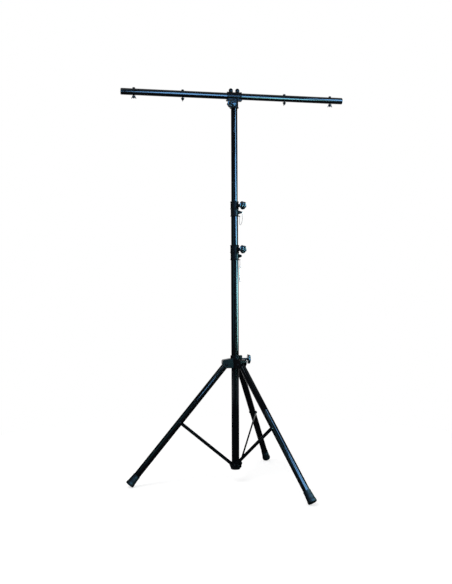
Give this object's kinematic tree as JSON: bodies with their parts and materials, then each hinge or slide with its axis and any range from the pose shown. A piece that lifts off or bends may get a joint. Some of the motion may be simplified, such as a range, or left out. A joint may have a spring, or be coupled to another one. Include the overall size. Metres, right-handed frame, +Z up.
{
  "type": "lighting bar stand",
  "caption": "Black tripod lighting stand with folding braced legs, a telescopic mast with clamp collars and safety pins, and a swivelling cross bar with wing-nut hanger bolts.",
  "frame": {"origin": "on the mast's axis at floor level", "axes": "+Z up the mast, +X along the cross bar away from the single leg, -Y towards the side that the clamp knobs face"},
  "size_m": [1.22, 1.0202, 2.1304],
  "materials": {
    "gloss_paint": "gloss black powder coat",
    "casting_paint": "satin black on a slightly grained casting",
    "knob_plastic": "satin moulded black",
    "bush_nylon": "smooth dull black",
    "foot_rubber": "matt moulded",
    "dark_steel": "black oxide, slight sheen",
    "bright_steel": "bright zinc"
  },
  "bodies": {
    "base": {"outer_tube": "gloss_paint", "lower_hub": "casting_paint", "left_brace_pivot_bolt": "dark_steel", "front_brace_pivot_bolt": "dark_steel", "rear_brace_pivot_bolt": "dark_steel", "lower_collar": "casting_paint", "lower_collar_bush": "bush_nylon", "lower_safety_pin": "bright_steel", "lower_lanyard": "bright_steel"},
    "hub": {"hub_casting": "casting_paint", "left_leg_pivot_bolt": "dark_steel", "front_leg_pivot_bolt": "dark_steel", "rear_leg_pivot_bolt": "dark_steel"},
    "left_leg": {"left_leg_tube": "gloss_paint", "left_foot": "foot_rubber", "left_brace_bolt": "dark_steel"},
    "left_brace_arm": {"left_brace": "gloss_paint", "left_brace_rivet": "dark_steel"},
    "front_leg": {"front_leg_tube": "gloss_paint", "front_foot": "foot_rubber", "front_brace_bolt": "dark_steel"},
    "front_brace_arm": {"front_brace": "gloss_paint", "front_brace_rivet": "dark_steel"},
    "rear_leg": {"rear_leg_tube": "gloss_paint", "rear_foot": "foot_rubber", "rear_brace_bolt": "dark_steel"},
    "rear_brace_arm": {"rear_brace": "gloss_paint", "rear_brace_rivet": "dark_steel"},
    "middle_mast": {"middle_tube": "gloss_paint", "upper_collar": "casting_paint", "upper_collar_bush": "bush_nylon", "upper_lanyard": "bright_steel"},
    "top_mast": {"top_tube": "gloss_paint"},
    "bar": {"bar_bracket": "casting_paint", "cross_bar": "gloss_paint", "bar_cap_left": "knob_plastic", "bar_cap_right": "knob_plastic", "cap_screw_left": "casting_paint", "cap_screw_right": "casting_paint", "outer_left_bolt": "dark_steel", "inner_left_bolt": "dark_steel", "inner_right_bolt": "dark_steel", "outer_right_bolt": "dark_steel", "outer_left_washer": "dark_steel", "inner_left_washer": "dark_steel", "inner_right_washer": "dark_steel", "outer_right_washer": "dark_steel"},
    "lower_collar_clamp": {"lower_collar_knob": "knob_plastic", "lower_collar_screw": "dark_steel"},
    "upper_collar_clamp": {"upper_collar_knob": "knob_plastic", "upper_collar_screw": "dark_steel"},
    "hub_clamp": {"hub_knob": "knob_plastic", "hub_screw": "dark_steel"},
    "bracket_clamp": {"bracket_knob": "knob_plastic", "bracket_screw": "dark_steel"},
    "outer_left_nut": {"outer_left_wing_nut": "dark_steel"},
    "inner_left_nut": {"inner_left_wing_nut": "dark_steel"},
    "inner_right_nut": {"inner_right_wing_nut": "dark_steel"},
    "outer_right_nut": {"outer_right_wing_nut": "dark_steel"},
    "upper_pin": {"upper_safety_pin": "bright_steel"}
  },
  "joints": [
    {"name": "hub_slide", "type": "slide", "parent": "base", "child": "hub", "axis": [0, 0, 1], "range_m": [0, 0.2172]},
    {"name": "left_leg_fold", "type": "hinge", "parent": "hub", "child": "left_leg", "pos_m": [-0.05, 0, 0.63714], "axis": [0, -1, 0], "range_deg": [0, 35.7]},
    {"name": "front_leg_fold", "type": "hinge", "parent": "hub", "child": "front_leg", "pos_m": [0.025, -0.0433, 0.63714], "axis": [0.866, 0.5, 0], "range_deg": [0, 35.7]},
    {"name": "rear_leg_fold", "type": "hinge", "parent": "hub", "child": "rear_leg", "pos_m": [0.025, 0.0433, 0.63714], "axis": [-0.866, 0.5, 0], "range_deg": [0, 35.7]},
    {"name": "left_brace_fold", "type": "hinge", "parent": "base", "child": "left_brace_arm", "pos_m": [-0.0223, 0, 0.1005], "axis": [0, 1, 0], "range_deg": [0, 41.54]},
    {"name": "front_brace_fold", "type": "hinge", "parent": "base", "child": "front_brace_arm", "pos_m": [0.01115, -0.01931, 0.1005], "axis": [-0.866, -0.5, 0], "range_deg": [0, 41.54]},
    {"name": "rear_brace_fold", "type": "hinge", "parent": "base", "child": "rear_brace_arm", "pos_m": [0.01115, 0.01931, 0.1005], "axis": [0.866, -0.5, 0], "range_deg": [0, 41.54]},
    {"name": "middle_mast_slide", "type": "slide", "parent": "base", "child": "middle_mast", "axis": [0, 0, 1], "range_m": [-0.152, 0.7]},
    {"name": "top_mast_slide", "type": "slide", "parent": "middle_mast", "child": "top_mast", "axis": [0, 0, 1], "range_m": [-0.49, 0.36]},
    {"name": "bar_turn", "type": "hinge", "parent": "top_mast", "child": "bar", "pos_m": [0, 0, 2.0876], "axis": [0, 0, 1], "continuous": true},
    {"name": "lower_collar_knob_turn", "type": "hinge", "parent": "base", "child": "lower_collar_clamp", "pos_m": [0, 0, 1.2556], "axis": [0.7071, -0.7071, 0], "continuous": true},
    {"name": "upper_collar_knob_turn", "type": "hinge", "parent": "middle_mast", "child": "upper_collar_clamp", "pos_m": [0, 0, 1.4916], "axis": [0.7071, -0.7071, 0], "continuous": true},
    {"name": "hub_knob_turn", "type": "hinge", "parent": "hub", "child": "hub_clamp", "pos_m": [0, 0, 0.66364], "axis": [1, 0, 0], "continuous": true},
    {"name": "bracket_knob_turn", "type": "hinge", "parent": "bar", "child": "bracket_clamp", "pos_m": [0, 0, 2.0361], "axis": [-0.5, -0.866, 0], "continuous": true},
    {"name": "outer_left_wing_nut_turn", "type": "hinge", "parent": "bar", "child": "outer_left_nut", "pos_m": [-0.54, 0, 2.0637], "axis": [0, 0, 1], "continuous": true},
    {"name": "inner_left_wing_nut_turn", "type": "hinge", "parent": "bar", "child": "inner_left_nut", "pos_m": [-0.28, 0, 2.0637], "axis": [0, 0, 1], "continuous": true},
    {"name": "inner_right_wing_nut_turn", "type": "hinge", "parent": "bar", "child": "inner_right_nut", "pos_m": [0.28, 0, 2.0637], "axis": [0, 0, 1], "continuous": true},
    {"name": "outer_right_wing_nut_turn", "type": "hinge", "parent": "bar", "child": "outer_right_nut", "pos_m": [0.54, 0, 2.0637], "axis": [0, 0, 1], "continuous": true},
    {"name": "upper_safety_pin_slide", "type": "slide", "parent": "middle_mast", "child": "upper_pin", "axis": [0.9659, -0.2588, 0], "range_m": [0, 0.028], "deforming": ["upper_lanyard"]}
  ],
  "couplings": [
    {"joint": "left_leg_fold", "follows": "hub_slide", "rad_per_m": 2.867},
    {"joint": "front_leg_fold", "follows": "hub_slide", "rad_per_m": 2.867},
    {"joint": "rear_leg_fold", "follows": "hub_slide", "rad_per_m": 2.867},
    {"joint": "left_brace_fold", "follows": "hub_slide", "rad_per_m": 3.336},
    {"joint": "front_brace_fold", "follows": "hub_slide", "rad_per_m": 3.336},
    {"joint": "rear_brace_fold", "follows": "hub_slide", "rad_per_m": 3.336}
  ]
}
